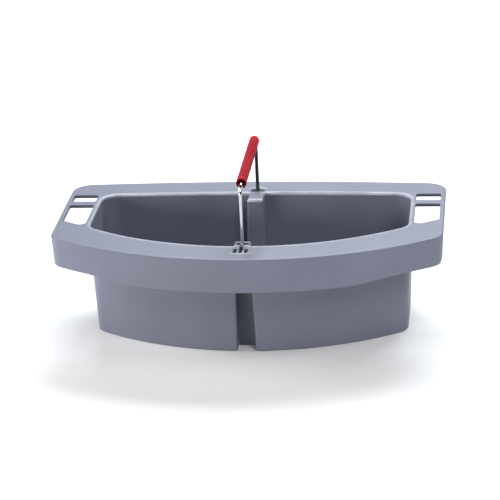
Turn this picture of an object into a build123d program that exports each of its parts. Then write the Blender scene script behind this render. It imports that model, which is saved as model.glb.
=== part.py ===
from build123d import *

import os
from math import radians, sqrt, tan

# Bow-front carry caddy, in millimetres. +Z is up, -Y is the bowed front and the origin is the centre of
# the bounding box on the underside of the tub. The bail handle stands upright in the middle.

# Overall sizes
WIDTH = 406.0
DEPTH = 236.0
HEIGHT = 118.0

# Rim: a flat plate round the opening, widest at the two ends, where it forms the ears
RIM_PLATE = 3.5
RIM_FRONT_BOW = 66.0
RIM_REAR_BOW = 9.0
RIM_FRONT_CORNER_R = 24.0
RIM_REAR_CORNER_R = 22.0
RIM_EDGE_R = 1.5
EAR_WIDTH = 36.5
FRONT_LAND = 41.0
REAR_LAND = 37.0

# Opening: the inner edge of the rim, from which the tub's walls fall
OPENING_FRONT_BOW = 56.5
OPENING_REAR_BOW = 5.0
OPENING_FRONT_CORNER_R = 20.0
OPENING_REAR_CORNER_R = 19.0
OPENING_EDGE_R = 2.0

# Tub walls and floor
WALL = 2.6
FLOOR = 2.8
WALL_DRAFT = 2.3
FLOOR_EDGE_R = 2.0

# Skirt: the turned-down edge of the rim, deepest in the middle of the front, a little shallower at the
# front corners, and shallow along the ears and the rear
SKIRT_DEPTH = 36.0
CORNER_SKIRT_DEPTH = 31.0
SIDE_SKIRT_DEPTH = 8.0
SKIRT_WALL = 2.6
SKIRT_DRAFT = 3.0
SKIRT_RISE_X = 113.0
SKIRT_RISE_RUN = 46.0
SKIRT_RISE_R = 150.0
SKIRT_STEP_FROM_CORNER = 4.0
SKIRT_STEP_RUN = 30.0
SKIRT_STEP_R = 6.0

# Hand slots through each ear: a short rear one, a bar, and a longer front one that follows the bow
SLOT_SIDE_LAND = 5.3
SLOT_WIDTH = 26.0
SLOT_REAR_FROM_CORNER = 33.3
REAR_SLOT_LENGTH = 19.7
SLOT_BAR = 11.0
SLOT_FRONT_LAND = 54.0
SLOT_CORNER_R = 2.5
SLOT_INNER_CORNER_R = 6.0

# Pilasters: the hollow posts in the front and rear walls that carry the bail
PILASTER_HALF_WIDTH = 8.4
PILASTER_WALL = 2.0
PILASTER_DRAFT = 1.6
FRONT_PILASTER_DEPTH = 13.0
REAR_PILASTER_DEPTH = 22.5
PILASTER_EDGE_R = 2.2

# Bail: one bent steel wire whose two ends turn outwards as hinge pins
WIRE_R = 2.0
AXIS_BELOW_RIM = 2.4
AXIS_TO_GRIP = 62.9
FRONT_LEG_INSIDE_OPENING = 6.2
REAR_LEG_OUTSIDE_OPENING = 8.8
PIN_LENGTH = 9.0
PIN_BEND_R = 4.0
GRIP_BEND_R = 9.0

# Pivots: over each post the rim has an open groove for a pin and a notch for the leg to swing in, with
# a thicker boss under it; the front boss also has three windows
PIN_CLEARANCE = 0.08
GROOVE_MOUTH = 3.2
SWING_CLEARANCE = 0.25
NOTCH_HALF_WIDTH = 7.5
REAR_NOTCH_INSIDE_LEG = 4.8
BOSS_HALF_WIDTH = 8.6
BOSS_DEPTH = 6.5
BOSS_END_WALL = 1.5
WINDOW_WIDTH = 3.8
WINDOW_SPACING = 5.6
SIDE_WINDOW_LENGTH = 11.0
MIDDLE_WINDOW_LENGTH = 17.4

# Grip: a fluted sleeve over the straight top of the wire
GRIP_R = 5.4
GRIP_END_GAP = 11.7
GRIP_PRESS = 0.05
COLLAR_LENGTH = 8.0
COLLAR_BORE_R = 3.9
COLLAR_EDGE_R = 1.0
FLUTES = 12
FLUTE_R = 1.3
FLUTE_DEPTH = 0.5

# Places worked out from the sizes above
RIM_Z = HEIGHT
PLATE_UNDER_Z = HEIGHT - RIM_PLATE
RIM_FRONT_CORNER_Y = RIM_FRONT_BOW - DEPTH / 2
RIM_REAR_CORNER_Y = DEPTH / 2 - RIM_REAR_BOW
OPENING_HALF_WIDTH = WIDTH / 2 - EAR_WIDTH
OPENING_FRONT_Y = FRONT_LAND - DEPTH / 2
OPENING_REAR_Y = DEPTH / 2 - REAR_LAND
AXIS_Z = RIM_Z - AXIS_BELOW_RIM
GRIP_Z = AXIS_Z + AXIS_TO_GRIP
FRONT_LEG_Y = OPENING_FRONT_Y + FRONT_LEG_INSIDE_OPENING
REAR_LEG_Y = OPENING_REAR_Y + REAR_LEG_OUTSIDE_OPENING


def shrink(depth, draft):
    """How far a wall with this draft moves inwards over a depth."""
    return depth * tan(radians(draft))


def plan(half_width, rear_corner_y, rear_bow, front_corner_y, front_bow, rear_radius, front_radius):
    """A face with straight sides, a bowed rear and a bowed front, all four corners rounded."""
    rear_left = (-half_width, rear_corner_y)
    rear_right = (half_width, rear_corner_y)
    front_left = (-half_width, front_corner_y)
    front_right = (half_width, front_corner_y)
    face = make_face(
        [
            ThreePointArc(rear_left, (0, rear_corner_y + rear_bow), rear_right),
            Line(rear_right, front_right),
            ThreePointArc(front_right, (0, front_corner_y - front_bow), front_left),
            Line(front_left, rear_left),
        ]
    )
    face = fillet(face.vertices().sort_by(Axis.Y)[2:], rear_radius)
    return fillet(face.vertices().sort_by(Axis.Y)[:2], front_radius)


def rim_plan():
    """The rim's outer edge."""
    return plan(
        WIDTH / 2, RIM_REAR_CORNER_Y, RIM_REAR_BOW, RIM_FRONT_CORNER_Y, RIM_FRONT_BOW,
        RIM_REAR_CORNER_R, RIM_FRONT_CORNER_R,
    )


def opening_plan():
    """The rim's inner edge."""
    return plan(
        OPENING_HALF_WIDTH, OPENING_REAR_Y - OPENING_REAR_BOW, OPENING_REAR_BOW,
        OPENING_FRONT_Y + OPENING_FRONT_BOW, OPENING_FRONT_BOW,
        OPENING_REAR_CORNER_R, OPENING_FRONT_CORNER_R,
    )


def drafted(face, growth, top_z, bottom_z, draft):
    """A solid between two heights, from a plan grown by an amount at the rim and drafted below it."""
    top = offset(face, growth - shrink(RIM_Z - top_z, draft)) if growth or top_z != RIM_Z else face
    bottom = offset(face, growth - shrink(RIM_Z - bottom_z, draft))
    return loft([Pos(0, 0, top_z) * top, Pos(0, 0, bottom_z) * bottom])


def pilaster(wall_y, reach, inset, top_z, bottom_z):
    """A post from beyond a wall towards the middle of the tub; inset takes it in to its hollow."""
    inwards = 1 if wall_y < 0 else -1
    sections = []
    for z in (top_z, bottom_z):
        growth = shrink(RIM_Z - z, PILASTER_DRAFT) - inset
        half_width = PILASTER_HALF_WIDTH + growth
        inner_y = wall_y + inwards * (reach + shrink(RIM_Z - z, WALL_DRAFT) + growth)
        outer_y = wall_y - inwards * 2 * WALL
        middle_y = (inner_y + outer_y) / 2
        sections.append(Pos(0, middle_y, z) * Rectangle(2 * half_width, abs(inner_y - outer_y)))
    return loft(sections)


def rim_front_y(x):
    """Y of the rim's bowed front edge at a distance x from the middle."""
    radius = ((WIDTH / 2) ** 2 + RIM_FRONT_BOW**2) / (2 * RIM_FRONT_BOW)
    return -DEPTH / 2 + radius - sqrt(radius**2 - x**2)


def solid_post(wall_y, reach, bottom_z):
    """A whole post with the two upright edges nearest the middle of the tub rounded."""
    post = pilaster(wall_y, reach, 0, RIM_Z, bottom_z)
    uprights = [edge for edge in post.edges() if edge.bounding_box().size.Z > HEIGHT / 2]
    uprights.sort(key=lambda edge: abs(edge.center().Y))
    return fillet(uprights[:2], PILASTER_EDGE_R)


def opening_void(bottom_z):
    """The space inside the tub walls, down to a height, with the two posts standing in it."""
    void = drafted(opening_plan(), 0, RIM_Z, bottom_z, WALL_DRAFT)
    void = fillet(void.faces().sort_by(Axis.Z)[0].edges(), FLOOR_EDGE_R)
    void -= solid_post(OPENING_FRONT_Y, FRONT_PILASTER_DEPTH, bottom_z)
    return void - solid_post(OPENING_REAR_Y, REAR_PILASTER_DEPTH, bottom_z)


def shell_outside():
    """The outside of the walls, with the two open channels that run up inside the posts."""
    outside = drafted(opening_plan(), WALL, RIM_Z, 0, WALL_DRAFT)
    outside = fillet(outside.faces().sort_by(Axis.Z)[0].edges(), FLOOR_EDGE_R)
    outside -= pilaster(OPENING_FRONT_Y, FRONT_PILASTER_DEPTH, PILASTER_WALL, PLATE_UNDER_Z, 0)
    outside -= pilaster(OPENING_REAR_Y, REAR_PILASTER_DEPTH, PILASTER_WALL, PLATE_UNDER_Z, 0)
    lips = [
        edge
        for edge in outside.edges()
        if edge.bounding_box().size.Z > HEIGHT / 2
        and abs(edge.center().X) < 2 * PILASTER_HALF_WIDTH
        and not OPENING_FRONT_Y + WALL < edge.center().Y < OPENING_REAR_Y - WALL
    ]
    return fillet(lips, PILASTER_EDGE_R)


def skirt_relief():
    """What is cut away below the right half of the skirt: its rise to the corner and the step to the ear."""
    middle_z = RIM_Z - SKIRT_DEPTH
    corner_z = RIM_Z - CORNER_SKIRT_DEPTH
    high_z = RIM_Z - SIDE_SKIRT_DEPTH
    low_z = middle_z - SKIRT_DEPTH
    corner_x = SKIRT_RISE_X + SKIRT_RISE_RUN
    rise = make_face(
        Polyline(
            (SKIRT_RISE_X, middle_z), (corner_x, corner_z), (WIDTH, corner_z), (WIDTH, low_z),
            (SKIRT_RISE_X, low_z), close=True,
        )
    )
    rise = fillet(rise.vertices().sort_by_distance((corner_x, corner_z, 0))[0], SKIRT_RISE_R)
    step_y = RIM_FRONT_CORNER_Y + SKIRT_STEP_FROM_CORNER
    step_end_y = step_y + SKIRT_STEP_RUN
    step = make_face(
        Polyline(
            (-DEPTH, corner_z), (step_y, corner_z), (step_end_y, high_z), (DEPTH, high_z),
            (DEPTH, low_z), (-DEPTH, low_z), close=True,
        )
    )
    bend_places = [(step_y, corner_z, 0), (step_end_y, high_z, 0)]
    bends = [step.vertices().sort_by_distance(place)[0] for place in bend_places]
    step = fillet(bends, SKIRT_STEP_R)
    rear = Pos(0, DEPTH / 2 + step_end_y, (high_z + low_z) / 2) * Box(2 * WIDTH, DEPTH, high_z - low_z)
    front_rise = extrude(Plane.XZ * rise, DEPTH, both=True)
    ear_step = Pos(corner_x, 0, 0) * extrude(Plane.YZ * step, WIDTH)
    return front_rise + ear_step + rear


def rim():
    """The flat rim plate with its skirt."""
    skirt_z = RIM_Z - SKIRT_DEPTH
    block = drafted(rim_plan(), 0, RIM_Z, skirt_z, SKIRT_DRAFT)
    block = fillet(block.faces().sort_by(Axis.Z)[-1].edges(), RIM_EDGE_R)
    block -= drafted(rim_plan(), -SKIRT_WALL, PLATE_UNDER_Z, skirt_z, SKIRT_DRAFT)
    relief = skirt_relief()
    return block - relief - mirror(relief, about=Plane.YZ)


def hand_slots():
    """The two slots through the right ear: the front one ends parallel to the bowed front edge."""
    inner_x = WIDTH / 2 - SLOT_SIDE_LAND - SLOT_WIDTH
    outer_x = inner_x + SLOT_WIDTH
    middle_x = (inner_x + outer_x) / 2
    rear_y = RIM_REAR_CORNER_Y - SLOT_REAR_FROM_CORNER
    bar_rear_y = rear_y - REAR_SLOT_LENGTH
    bar_front_y = bar_rear_y - SLOT_BAR
    rear = Pos(middle_x, (rear_y + bar_rear_y) / 2) * RectangleRounded(
        SLOT_WIDTH, REAR_SLOT_LENGTH, SLOT_CORNER_R
    )
    inner_front = (inner_x, rim_front_y(inner_x) + SLOT_FRONT_LAND)
    outer_front = (outer_x, rim_front_y(outer_x) + SLOT_FRONT_LAND)
    middle_front = (middle_x, rim_front_y(middle_x) + SLOT_FRONT_LAND)
    front = make_face(
        [
            Polyline(inner_front, (inner_x, bar_front_y), (outer_x, bar_front_y), outer_front),
            ThreePointArc(outer_front, middle_front, inner_front),
        ]
    )
    corners = front.vertices().sort_by(Axis.Y)
    front = fillet(corners[1:], SLOT_CORNER_R)
    front = fillet(front.vertices().sort_by(Axis.Y)[0], SLOT_INNER_CORNER_R)
    below = Pos(0, 0, PLATE_UNDER_Z - RIM_PLATE)
    return below * extrude(rear + front, 3 * RIM_PLATE)


def block_between(half_width, y_a, y_b, low_z, high_z):
    """A box centred on x = 0 between two Y values and two heights."""
    centre = Pos(0, (y_a + y_b) / 2, (low_z + high_z) / 2)
    return centre * Box(2 * half_width, abs(y_b - y_a), high_z - low_z)


def pivot_bosses():
    """The thicker plastic under the rim that holds each pin."""
    front_inner_y = OPENING_FRONT_Y + FRONT_PILASTER_DEPTH - PILASTER_WALL / 2
    front_outer_y = FRONT_LEG_Y - PIN_LENGTH - MIDDLE_WINDOW_LENGTH - BOSS_END_WALL
    rear_outer_y = REAR_LEG_Y + PIN_LENGTH + BOSS_END_WALL
    low_z = RIM_Z - BOSS_DEPTH
    top_z = RIM_Z - RIM_PLATE / 2
    front = block_between(BOSS_HALF_WIDTH, front_inner_y, front_outer_y, low_z, top_z)
    return front + block_between(BOSS_HALF_WIDTH, REAR_LEG_Y, rear_outer_y, low_z, top_z)


def pin_groove(leg_y, outwards):
    """The open snap groove for one pin; its mouth is narrower than the pin."""
    end_y = leg_y + outwards * (PIN_LENGTH + SWING_CLEARANCE)
    groove = Pos(0, (leg_y + end_y) / 2, AXIS_Z) * Rot(90, 0, 0) * Cylinder(
        WIRE_R + PIN_CLEARANCE, abs(end_y - leg_y)
    )
    return groove + block_between(GROOVE_MOUTH / 2, leg_y, end_y, AXIS_Z, RIM_Z + RIM_PLATE)


def swing_notch(leg_y, outwards):
    """The flared notch in which the front leg swings, from just inside the leg to the start of its pin."""
    bottom_z = AXIS_Z - WIRE_R - SWING_CLEARANCE
    bottom_x = WIRE_R + SWING_CLEARANCE
    flare = make_face(
        Polyline(
            (-bottom_x, bottom_z), (bottom_x, bottom_z), (NOTCH_HALF_WIDTH, RIM_Z),
            (NOTCH_HALF_WIDTH, RIM_Z + RIM_PLATE), (-NOTCH_HALF_WIDTH, RIM_Z + RIM_PLATE),
            (-NOTCH_HALF_WIDTH, RIM_Z), close=True,
        )
    )
    length = WIRE_R + PIN_BEND_R + 2 * SWING_CLEARANCE
    middle_y = leg_y + outwards * (PIN_BEND_R - WIRE_R) / 2
    return Pos(0, middle_y, 0) * extrude(Plane.XZ * flare, length / 2, both=True)


def pivot_cuts():
    """Everything cut through the rim over the two posts for the bail to snap in and swing."""
    pin_end_y = FRONT_LEG_Y - PIN_LENGTH
    window_end_y = pin_end_y - MIDDLE_WINDOW_LENGTH
    under_z = RIM_Z - 2 * BOSS_DEPTH
    middle_window = block_between(
        WINDOW_WIDTH / 2, pin_end_y, window_end_y, under_z, RIM_Z + RIM_PLATE
    )
    side_window = block_between(
        WINDOW_WIDTH / 2, window_end_y + SIDE_WINDOW_LENGTH, window_end_y, under_z, RIM_Z + RIM_PLATE
    )
    rear_notch = block_between(
        NOTCH_HALF_WIDTH, REAR_LEG_Y - REAR_NOTCH_INSIDE_LEG,
        REAR_LEG_Y + PIN_BEND_R + SWING_CLEARANCE, under_z, RIM_Z + RIM_PLATE,
    )
    cuts = pin_groove(FRONT_LEG_Y, -1) + pin_groove(REAR_LEG_Y, 1)
    cuts += swing_notch(FRONT_LEG_Y, -1) + rear_notch + middle_window
    for side in (-1, 1):
        cuts += Pos(side * WINDOW_SPACING, 0, 0) * side_window
    return cuts


def tub():
    """The one-piece moulded tub: rim, skirt, ears, walls, floor, the two hollow posts and the pivots."""
    body = rim() + shell_outside() + pivot_bosses() - opening_void(FLOOR)
    top = body.faces().filter_by(Axis.Z).sort_by(Axis.Z)[-1]
    body = fillet(top.inner_wires()[0].edges(), OPENING_EDGE_R)
    slots = hand_slots()
    return body - slots - mirror(slots, about=Plane.YZ) - pivot_cuts()


def bail_wire():
    """The round wire: a pin, a leg, the straight top, the other leg and its pin."""
    path = FilletPolyline(
        (0, FRONT_LEG_Y - PIN_LENGTH, AXIS_Z),
        (0, FRONT_LEG_Y, AXIS_Z),
        (0, FRONT_LEG_Y, GRIP_Z),
        (0, REAR_LEG_Y, GRIP_Z),
        (0, REAR_LEG_Y, AXIS_Z),
        (0, REAR_LEG_Y + PIN_LENGTH, AXIS_Z),
        radius=[PIN_BEND_R, GRIP_BEND_R, GRIP_BEND_R, PIN_BEND_R],
    )
    start = Plane(origin=path @ 0, z_dir=path % 0)
    return sweep(start * Circle(WIRE_R), path=path)


def grip_sleeve():
    """The fluted sleeve: tight on the wire in the middle, hollow and plain at both ends."""
    length = REAR_LEG_Y - FRONT_LEG_Y - 2 * GRIP_END_GAP
    sleeve = Cylinder(GRIP_R, length)
    sleeve = fillet(sleeve.edges().filter_by(GeomType.CIRCLE), COLLAR_EDGE_R)
    flute = Cylinder(FLUTE_R, length - 2 * COLLAR_LENGTH)
    for place in PolarLocations(GRIP_R + FLUTE_R - FLUTE_DEPTH, FLUTES):
        sleeve -= place * flute
    sleeve -= Cylinder(WIRE_R - GRIP_PRESS, length)
    collar = Cylinder(COLLAR_BORE_R, COLLAR_LENGTH)
    for end in (-1, 1):
        sleeve -= Pos(0, 0, end * (length - COLLAR_LENGTH) / 2) * collar
    middle_y = (REAR_LEG_Y + FRONT_LEG_Y) / 2
    return Pos(0, middle_y, GRIP_Z) * Rot(90, 0, 0) * sleeve


os.makedirs("parts", exist_ok=True)
export_step(tub(), "parts/tub.step")
export_step(bail_wire(), "parts/bail_wire.step")
export_step(grip_sleeve(), "parts/grip_sleeve.step")
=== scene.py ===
from math import cos, pi, radians, sin

import bmesh
import bpy
from mathutils import Matrix, Vector


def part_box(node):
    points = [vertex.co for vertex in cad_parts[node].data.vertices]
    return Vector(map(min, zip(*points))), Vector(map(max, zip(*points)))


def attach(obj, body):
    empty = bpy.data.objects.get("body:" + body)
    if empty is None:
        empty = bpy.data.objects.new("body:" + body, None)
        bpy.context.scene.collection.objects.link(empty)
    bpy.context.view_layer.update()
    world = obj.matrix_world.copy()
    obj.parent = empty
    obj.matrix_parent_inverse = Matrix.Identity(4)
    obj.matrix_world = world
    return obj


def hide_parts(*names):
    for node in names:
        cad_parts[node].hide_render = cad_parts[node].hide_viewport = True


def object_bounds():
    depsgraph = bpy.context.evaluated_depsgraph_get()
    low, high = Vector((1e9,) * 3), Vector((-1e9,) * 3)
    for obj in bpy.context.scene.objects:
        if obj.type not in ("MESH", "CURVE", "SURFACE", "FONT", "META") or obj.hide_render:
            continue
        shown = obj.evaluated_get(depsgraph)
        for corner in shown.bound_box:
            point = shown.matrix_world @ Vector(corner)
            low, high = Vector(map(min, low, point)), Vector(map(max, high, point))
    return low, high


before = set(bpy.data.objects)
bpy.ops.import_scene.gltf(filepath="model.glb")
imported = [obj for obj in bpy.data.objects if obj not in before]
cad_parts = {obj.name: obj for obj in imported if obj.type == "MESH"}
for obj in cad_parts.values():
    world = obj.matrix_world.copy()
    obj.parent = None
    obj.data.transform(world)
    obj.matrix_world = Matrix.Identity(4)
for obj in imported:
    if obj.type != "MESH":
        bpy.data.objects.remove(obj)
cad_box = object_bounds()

# =====================================================================================================
# Tub
# One injection moulding in blue-grey polypropylene: walls, floor, rim, ears, skirt and the two hollow
# posts come out of the mould together. The tool leaves a fine grain, faint flow marks down the walls
# and soft edges. Use scuffs the rim and wears its edges. The opening's lip is painted lighter as a
# highlight, the worn edges double as a faint painted highlight, and the slots and channel are painted darker
# as shade.
# =====================================================================================================


class Field:
    """A shader socket that takes part in sums: each operation adds its own Math node."""

    def __init__(self, finish, socket):
        self.finish = finish
        self.socket = socket

    def maths(self, operation, *values):
        sockets = dict(enumerate(values))
        return self.finish.node("ShaderNodeMath", {"operation": operation}, sockets)["Value"]

    def __add__(self, other):
        return self.maths("ADD", self, other)

    def __radd__(self, other):
        return self.maths("ADD", other, self)

    def __sub__(self, other):
        return self.maths("SUBTRACT", self, other)

    def __rsub__(self, other):
        return self.maths("SUBTRACT", other, self)

    def __mul__(self, other):
        return self.maths("MULTIPLY", self, other)

    def __rmul__(self, other):
        return self.maths("MULTIPLY", other, self)

    def between(self, low, high):
        """0 below low, 1 above high, and smooth from one to the other."""
        settings = {"interpolation_type": "SMOOTHSTEP"}
        sockets = {"Value": self, "From Min": low, "From Max": high}
        return self.finish.node("ShaderNodeMapRange", settings, sockets)["Result"]

    def past(self, edge, softness):
        """0 before an edge and 1 past it, turning over a softness on each side of it."""
        return self.between(edge - softness, edge + softness)


class Finish:
    """The surface finish of one moulded, drawn or dipped piece, built up on a Principled shader."""

    def __init__(self, name, **constants):
        self.material = bpy.data.materials.new(name)
        self.material.use_nodes = True
        self.tree = self.material.node_tree
        self.shader = self.tree.nodes["Principled BSDF"]
        for socket, value in constants.items():
            self.shader.inputs[socket.replace("_", " ")].default_value = value
        self.place = self.node("ShaderNodeTexCoord")["Object"]

    def node(self, kind, settings=None, sockets=None):
        """Adds a node, its settings before its sockets, and gives its outputs by name."""
        made = self.tree.nodes.new(kind)
        for setting, value in (settings or {}).items():
            setattr(made, setting, value)
        for socket, value in (sockets or {}).items():
            if isinstance(value, Field):
                self.tree.links.new(value.socket, made.inputs[socket])
            else:
                made.inputs[socket].default_value = value
        return {output.name: Field(self, output) for output in made.outputs if output.enabled}

    def noise(self, scale, stretch=(1, 1, 1), detail=3.0, roughness=0.5):
        """Soft noise with features 1 / scale metres across, drawn out along any axis with a small stretch."""
        drawn = self.node("ShaderNodeMapping", {}, {"Vector": self.place, "Scale": stretch})["Vector"]
        sockets = {"Vector": drawn, "Scale": scale, "Detail": detail, "Roughness": roughness}
        return self.node("ShaderNodeTexNoise", {}, sockets)["Fac"]

    def mix(self, amount, first, second):
        """A colour between two colours. Sockets 6 and 7 are the Mix node's own colours."""
        first, second = (colour if isinstance(colour, Field) else (*colour, 1) for colour in (first, second))
        return self.node("ShaderNodeMix", {"data_type": "RGBA"}, {0: amount, 6: first, 7: second})["Result"]

    def vector(self, operation, *vectors):
        """The result of a Vector Math node."""
        made = self.node("ShaderNodeVectorMath", {"operation": operation}, dict(enumerate(vectors)))
        return next(iter(made.values()))

    def split(self, vector):
        """The X, Y and Z of a vector."""
        return self.node("ShaderNodeSeparateXYZ", {}, {"Vector": vector}).values()

    def edges(self, radius):
        """A rounded normal for edges this sharp, and how near a point is to such an edge, from 0 to 1."""
        rounded = self.node("ShaderNodeBevel", {"samples": 6}, {"Radius": radius})["Normal"]
        true = self.node("ShaderNodeNewGeometry")["Normal"]
        return rounded, (1 - self.vector("DOT_PRODUCT", rounded, true)).between(0.01, 0.22)

    def bump(self, height, distance, strength, normal=None):
        """A surface normal raised by a height field; distance is the height of 1, in metres."""
        sockets = {"Height": height, "Distance": distance, "Strength": strength}
        if normal:
            sockets["Normal"] = normal
        return self.node("ShaderNodeBump", {}, sockets)["Normal"]

    def feed(self, **fields):
        """Links fields to the shader's own sockets."""
        for socket, field in fields.items():
            self.tree.links.new(field.socket, self.shader.inputs[socket.replace("_", " ")])
        return self.material


tub_grey = (0.160, 0.171, 0.228)
tub_deep_grey = (0.142, 0.152, 0.206)
# Scuff colour for worn spots, also used for the faint painted highlight on sharp edges.
tub_scuff_and_highlight_grey = (0.300, 0.312, 0.375)
# Painted highlight colour for the opening's lip, standing in for light caught on its rounded edge.
tub_lip_highlight_grey = (0.560, 0.575, 0.640)
# Painted shade colour for the slot walls and the channel.
tub_painted_shade = (0.040, 0.042, 0.052)

rim_top = 0.1180
skirt_foot = 0.080
handled_from = 0.070
slot_inner_x, slot_outer_x = 0.1700, 0.1984
slot_front_y, slot_back_y = -0.003, 0.080
channel_half_width = 0.009
channel_y = -0.0525

moulded = Finish("tub_moulded_plastic", IOR=1.49, Specular_IOR_Level=0.5)
clouding = moulded.noise(14, detail=2.0)
flow_marks = moulded.noise(150, stretch=(1, 1, 0.035), detail=2.0)
grain = moulded.noise(2600, detail=2.0, roughness=0.6)
mottle = moulded.noise(620, detail=3.0, roughness=0.7)
soft_edge, edge = moulded.edges(0.0007)
scuffs = moulded.noise(420, stretch=(0.10, 1, 1), detail=4.0, roughness=0.65).between(0.62, 0.74)
cross_scuffs = moulded.noise(380, stretch=(1, 0.12, 1), detail=4.0, roughness=0.65).between(0.64, 0.76)
worn_patches = moulded.noise(55, detail=4.0, roughness=0.6).between(0.42, 0.68)
across, back, height = moulded.split(moulded.place)
off_centre = across.maths("ABSOLUTE", across)
handled = height.between(handled_from, rim_top - 0.0002)
rubbed = (scuffs + cross_scuffs) * worn_patches * handled
# Sharp edges lightened in worn patches: edge wear, and along the rim's outer edge also a faint painted
# highlight.
worn_edge_and_highlight = edge * worn_patches

in_ear = off_centre.past(slot_inner_x, 0.0015)
lip_normal = moulded.edges(0.007)[0]
lip_pull = 0 - moulded.vector("DOT_PRODUCT", lip_normal, moulded.vector("MULTIPLY", moulded.place, (1, 7, 0)))
lip = lip_pull.between(0.030, 0.075) * height.between(rim_top - 0.0030, rim_top - 0.0018) * (1 - in_ear)
in_slots = in_ear * (1 - off_centre.past(slot_outer_x, 0.0006)) * back.past(slot_front_y, 0.001)
below_top = 1 - height.between(rim_top - 0.0010, rim_top - 0.0003)
slot_walls = in_slots * (1 - back.past(slot_back_y, 0.001)) * below_top
_, facing_back, _ = moulded.split(moulded.node("ShaderNodeNewGeometry")["Normal"])
channel_strip = (1 - off_centre.past(channel_half_width, 0.0005)) * (1 - height.past(skirt_foot, 0.001))
channel = channel_strip * (1 - back.past(channel_y, 0.0025)) * (0 - facing_back).between(0.4, 0.6)

# Painted highlight: the opening's inner lip is drawn much lighter, standing in for light on its rounded edge;
# it also lowers the roughness there.
painted_lip_highlight = lip * (0.65 + worn_patches * 0.35)
shade = (clouding * 0.40 + flow_marks * 0.12 + mottle * 0.48).between(0.36, 0.64)
body_colour = moulded.mix(shade, tub_deep_grey, tub_grey)
worn_and_highlit_colour = moulded.mix(rubbed * 0.20 + worn_edge_and_highlight * 0.30, body_colour, tub_scuff_and_highlight_grey)
lip_highlit_colour = moulded.mix(painted_lip_highlight * 0.85, worn_and_highlit_colour, tub_lip_highlight_grey)
# Painted shade: the slot walls and the channel's back face are drawn near black, standing in for the shade
# inside them.
slot_shaded_colour = moulded.mix(slot_walls * 0.75 + channel * 0.50, lip_highlit_colour, tub_painted_shade)
relief = grain * 0.45 + mottle * 0.35 + flow_marks * 0.08 - rubbed * 0.20
moulded.feed(
    Base_Color=slot_shaded_colour,
    Roughness=0.47 + grain * 0.08 - rubbed * 0.10 - worn_edge_and_highlight * 0.08 - painted_lip_highlight * 0.12,
    Normal=moulded.bump(relief, 0.00010, 0.55, soft_edge),
)

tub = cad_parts["tub"]
tub.data.materials.clear()
tub.data.materials.append(moulded.material)

# =====================================================================================================
# Bail
# A single length of 4 mm steel wire, bent cold to a square bail and bright plated. Its two ends turn
# outwards as pins and snap into the grooves in the rim, which rub them rougher; inside the grooves the
# plate is painted dark as shade. The rear leg is painted near black as a dark reflection.
# =====================================================================================================
plate_bright = (0.60, 0.61, 0.63)
plate_dull = (0.42, 0.42, 0.43)
# Painted shade colour for the pins where they sit inside the grooves.
plate_groove_shade = (0.16, 0.16, 0.17)
plate_dark_reflection = (0.020, 0.020, 0.022)
pin_top, clear_of_groove = 0.1172, 0.1205
rear_bend_y, rear_leg_y = 0.055, 0.070

plated = Finish("bail_plated_steel", Metallic=1.0)
draw_lines = plated.noise(3200, stretch=(1, 1, 0.02), detail=2.0)
_, wire_back, wire_height = plated.split(plated.place)
# Painted shade: below the groove tops, where the pins sit in the grooves, the plate is drawn dark; the
# grooves also rub it rougher.
pin_in_groove = 1 - wire_height.between(pin_top, clear_of_groove)
# Painted reflection: the rear leg is drawn near black, standing in for the dark tub inside that the plate
# reflects there.
rear_leg_reflection_mask = wire_back.between(rear_bend_y, rear_leg_y)
dulling = plated.noise(120, detail=4.0, roughness=0.6).between(0.45, 0.72)
plate = plated.mix(dulling * 0.45, plate_bright, plate_dull)
plate_with_dark_reflection = plated.mix(rear_leg_reflection_mask * 0.80, plate, plate_dark_reflection)
plated.feed(
    Base_Color=plated.mix(pin_in_groove * 0.85, plate_with_dark_reflection, plate_groove_shade),
    Roughness=0.10 + dulling * 0.14 + draw_lines * 0.05 + pin_in_groove * 0.25,
    Normal=plated.bump(draw_lines, 0.00002, 0.35),
)

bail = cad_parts["bail_wire"]
bail.data.materials.clear()
bail.data.materials.append(plated.material)

# =====================================================================================================
# Grip
# A red vinyl sleeve pushed over the top of the bail. Its middle is fluted and tight on the wire; each
# end is a plain hollow collar with a rounded lip, deep enough for the wire's bend to show inside it.
# =====================================================================================================
sleeve_low, sleeve_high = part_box("grip_sleeve")
sleeve_length = sleeve_high.y - sleeve_low.y
sleeve_middle = (sleeve_low + sleeve_high) / 2
sleeve_r = (sleeve_high.z - sleeve_low.z) / 2
collar_length = 0.0080
collar_bore_r = 0.0039
collar_taper = 0.0008
lip_r = 0.0007
lip_steps = 5
wire_bore_r = 0.00205
flute_count = 12
flute_depth = 0.00055
flute_rows = 150
flute_run_out = 0.0009
flute_sharpness = 1.6
round_steps = 144


def sleeve_profile():
    """Radius and place along the sleeve, up the outside and back through the bore."""
    half = sleeve_length / 2
    profile = [(sleeve_r, -half + lip_r + row * (sleeve_length - 2 * lip_r) / flute_rows)
               for row in range(flute_rows + 1)]
    for step in range(1, lip_steps + 1):
        turn = radians(90 * step / lip_steps)
        profile.append((sleeve_r - lip_r * (1 - cos(turn)), half - lip_r + lip_r * sin(turn)))
    for turn in (radians(angle) for angle in (0, 30, 60, 90)):
        profile.append((collar_bore_r + lip_r * (1 - sin(turn)), half - lip_r * (1 - cos(turn))))
    profile += [(collar_bore_r, half - collar_length), (wire_bore_r, half - collar_length - collar_taper)]
    mirrored = [(radius, -along) for radius, along in reversed(profile[flute_rows + 1:])]
    return profile + mirrored


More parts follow.
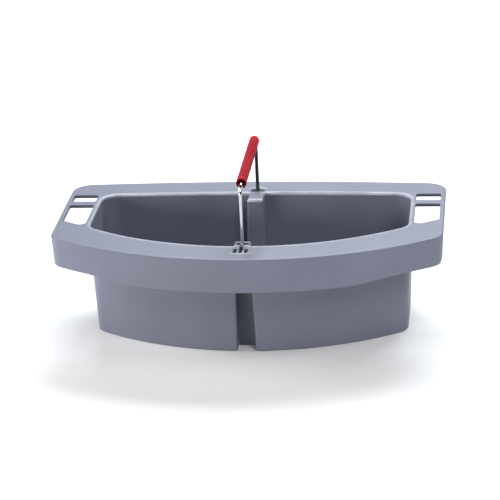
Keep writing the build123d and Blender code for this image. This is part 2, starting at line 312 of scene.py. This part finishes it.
rings = bmesh.new()
outline = sleeve_profile()
loops = []
for radius, along in outline:
    turned = [2 * pi * step / round_steps for step in range(round_steps)]
    loops.append([rings.verts.new((radius * cos(a), along, radius * sin(a))) for a in turned])
for first, second in zip(loops, loops[1:] + loops[:1]):
    for step in range(round_steps):
        after = (step + 1) % round_steps
        rings.faces.new((first[step], first[after], second[after], second[step]))
bmesh.ops.remove_doubles(rings, verts=rings.verts, dist=1e-7)
bmesh.ops.recalc_face_normals(rings, faces=rings.faces)
plain_sleeve = bpy.data.meshes.new("plain_sleeve")
rings.to_mesh(plain_sleeve)
rings.free()

vinyl_red = (0.400, 0.010, 0.022)
vinyl_light_red = (0.560, 0.030, 0.046)
# Painted shade colour for the bottoms of the flutes.
vinyl_groove_shade_red = (0.210, 0.003, 0.010)

dipped = Finish("grip_fluted_vinyl", IOR=1.45, Specular_IOR_Level=0.05)
pores = dipped.noise(2200, detail=2.0, roughness=0.6)
handling = dipped.noise(90, stretch=(1, 0.4, 1), detail=4.0, roughness=0.6).between(0.40, 0.66)
off_wire = dipped.vector("SUBTRACT", dipped.place, tuple(sleeve_middle))
off_axis = dipped.vector("LENGTH", dipped.vector("MULTIPLY", off_wire, (1, 0, 1)))
# Painted shade: the flute grooves are drawn dark red and the crests plain red, standing in for the shade in
# the grooves.
crest = off_axis.between(sleeve_r - flute_depth, sleeve_r)
vinyl = dipped.mix(crest, vinyl_groove_shade_red, vinyl_red)
dipped.feed(
    Base_Color=dipped.mix(handling * crest * 0.40, vinyl, vinyl_light_red),
    Roughness=0.46 + pores * 0.10 + handling * 0.08,
    Normal=dipped.bump(pores, 0.00006, 0.40),
)


def fluting(material):
    """A node tree that sinks evenly spaced flutes into the outside of a sleeve along Y."""
    tree = bpy.data.node_groups.new("sleeve_fluting", "GeometryNodeTree")
    tree.interface.new_socket("Geometry", in_out="INPUT", socket_type="NodeSocketGeometry")
    for name in ("Flutes", "Depth", "Radius", "Fluted half length", "Run-out"):
        tree.interface.new_socket(name, in_out="INPUT", socket_type="NodeSocketFloat")
    tree.interface.new_socket("Geometry", in_out="OUTPUT", socket_type="NodeSocketGeometry")
    asked = tree.nodes.new("NodeGroupInput").outputs

    def step(kind, settings, *values):
        made = tree.nodes.new(kind)
        for setting, value in settings.items():
            setattr(made, setting, value)
        for socket, value in zip(made.inputs, values):
            if isinstance(value, bpy.types.NodeSocket):
                tree.links.new(value, socket)
            elif value is not None:
                socket.default_value = value
        return made

    def sum_of(operation, *values):
        return step("ShaderNodeMath", {"operation": operation}, *values).outputs[0]

    place = step("GeometryNodeInputPosition", {}).outputs[0]
    x, y, z = step("ShaderNodeSeparateXYZ", {}, place).outputs
    turn = sum_of("MULTIPLY", sum_of("ARCTAN2", z, x), asked["Flutes"])
    wave = sum_of("MULTIPLY_ADD", sum_of("COSINE", turn), -0.5, 0.5)
    groove = sum_of("POWER", wave, flute_sharpness)
    past_flutes = sum_of("SUBTRACT", sum_of("ABSOLUTE", y), asked["Fluted half length"])
    fade = step(
        "ShaderNodeMapRange", {"interpolation_type": "SMOOTHSTEP"},
        past_flutes, sum_of("MULTIPLY", asked["Run-out"], -1.0), asked["Run-out"], 1.0, 0.0,
    ).outputs[0]
    from_axis = sum_of("SQRT", sum_of("ADD", sum_of("MULTIPLY", x, x), sum_of("MULTIPLY", z, z)))
    outside = sum_of("GREATER_THAN", from_axis, sum_of("MULTIPLY", asked["Radius"], 0.98))
    sunk = sum_of("MULTIPLY", sum_of("MULTIPLY", groove, fade), sum_of("MULTIPLY", asked["Depth"], outside))
    share = sum_of("DIVIDE", sum_of("MULTIPLY", sunk, -1.0), from_axis)
    radial = step("ShaderNodeCombineXYZ", {}, x, 0.0, z).outputs[0]
    inwards = step("ShaderNodeVectorMath", {"operation": "SCALE"}, radial)
    tree.links.new(share, inwards.inputs["Scale"])
    moved = step("GeometryNodeSetPosition", {})
    tree.links.new(asked["Geometry"], moved.inputs["Geometry"])
    tree.links.new(inwards.outputs[0], moved.inputs["Offset"])
    real = step("GeometryNodeRealizeInstances", {}, moved.outputs[0])
    coated = step("GeometryNodeSetMaterial", {}, real.outputs[0])
    coated.inputs["Material"].default_value = material
    result = tree.nodes.new("NodeGroupOutput")
    tree.links.new(coated.outputs[0], result.inputs[0])
    return tree


blank = bpy.data.objects.new("blank_sleeve", plain_sleeve)
bpy.context.scene.collection.objects.link(blank)
modifier = blank.modifiers.new("fluting", "NODES")
modifier.node_group = fluting(dipped.material)
sizes = {
    "Flutes": float(flute_count),
    "Depth": flute_depth,
    "Radius": sleeve_r,
    "Fluted half length": sleeve_length / 2 - collar_length,
    "Run-out": flute_run_out,
}
for item in modifier.node_group.interface.items_tree:
    if item.in_out == "INPUT" and item.name in sizes:
        modifier[item.identifier] = sizes[item.name]
evaluated = blank.evaluated_get(bpy.context.evaluated_depsgraph_get())
grip_mesh = bpy.data.meshes.new_from_object(evaluated)
bpy.data.objects.remove(blank)
grip_mesh.transform(Matrix.Translation(sleeve_middle))
grip_mesh.shade_smooth()
grip = bpy.data.objects.new("fluted_grip", grip_mesh)
bpy.context.scene.collection.objects.link(grip)
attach(grip, "bail")
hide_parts("grip_sleeve")

# =====================================================================================================
# Floor and light
# A pale matt studio table under large soft boxes.
# =====================================================================================================
table = Finish("pale_table", Specular_IOR_Level=0.1)
table_mottle = table.noise(6, detail=3.0)
table.feed(
    Base_Color=table.mix(table_mottle, (0.93, 0.93, 0.93), (0.95, 0.95, 0.95)),
    Roughness=0.85 + table_mottle * 0.1,
)
floor_reach = 6.0
floor_corners = [(x * floor_reach, y * floor_reach, 0) for x, y in ((-1, -1), (1, -1), (1, 1), (-1, 1))]
floor_mesh = bpy.data.meshes.new("table_top")
floor_mesh.from_pydata(floor_corners, [], [(0, 1, 2, 3)])
floor_mesh.materials.append(table.material)
floor = bpy.data.objects.new("table_top", floor_mesh)
floor.location.z = cad_box[0].z
bpy.context.scene.collection.objects.link(floor)


def softbox(name, place, target, size, power, colour=(1, 1, 1)):
    """A rectangular soft light at a place, facing a target."""
    light = bpy.data.lights.new(name, "AREA")
    light.shape = "RECTANGLE"
    light.size, light.size_y = size
    light.energy = power
    light.color = colour
    lamp = bpy.data.objects.new(name, light)
    lamp.location = place
    lamp.rotation_euler = (Vector(target) - Vector(place)).to_track_quat("-Z", "Y").to_euler()
    bpy.context.scene.collection.objects.link(lamp)


middle = (0, 0, 0.08)
softbox("overhead_back", (0.2, 1.2, 1.4), middle, (1.4, 0.7), 43, (0.94, 1.0, 1.05))
softbox("left_side", (-1.7, 0.1, 0.7), middle, (0.9, 0.9), 27)
softbox("front_left_low", (-1.5, -1.9, 0.32), middle, (0.9, 0.5), 22, (1.05, 1.0, 0.96))
softbox("right_high", (1.2, -0.3, 1.3), middle, (0.7, 0.7), 6, (0.99, 1.0, 1.01))
softbox("front_right_high", (0.8, -1.3, 1.35), middle, (0.7, 0.7), 14)

world = bpy.data.worlds.new("studio")
bpy.context.scene.world = world
world.use_nodes = True
walls = world.node_tree
dim_walls = walls.nodes["Background"]
dim_walls.inputs["Color"].default_value = (1, 1, 1, 1)
dim_walls.inputs["Strength"].default_value = 0.05
pale_walls = walls.nodes.new("ShaderNodeBackground")
pale_walls.inputs["Color"].default_value = (0.93, 0.93, 0.93, 1)
seen = walls.nodes.new("ShaderNodeLightPath").outputs["Is Camera Ray"]
either = walls.nodes.new("ShaderNodeMixShader")
walls.links.new(seen, either.inputs[0])
walls.links.new(dim_walls.outputs[0], either.inputs[1])
walls.links.new(pale_walls.outputs[0], either.inputs[2])
walls.links.new(either.outputs[0], walls.nodes["World Output"].inputs["Surface"])
bpy.context.scene.view_settings.view_transform = "Standard"

# =====================================================================================================
# Camera
# Above the bowed front and a little to the right, with a long lens, as the caddy is usually shown.
# =====================================================================================================
camera = bpy.data.objects.new("camera", bpy.data.cameras.new("camera"))
camera.data.sensor_width = 36
camera.data.lens = 166.25
bpy.context.scene.collection.objects.link(camera)
heading = Matrix.Rotation(radians(6.65), 4, "Z")
tilt = Matrix.Rotation(radians(90 - 21.127), 4, "X")
roll = Matrix.Rotation(radians(-2.53), 4, "Z")
camera.matrix_world = Matrix.Translation((0.261, -2.24575, 0.957)) @ heading @ tilt @ roll
bpy.context.scene.camera = camera
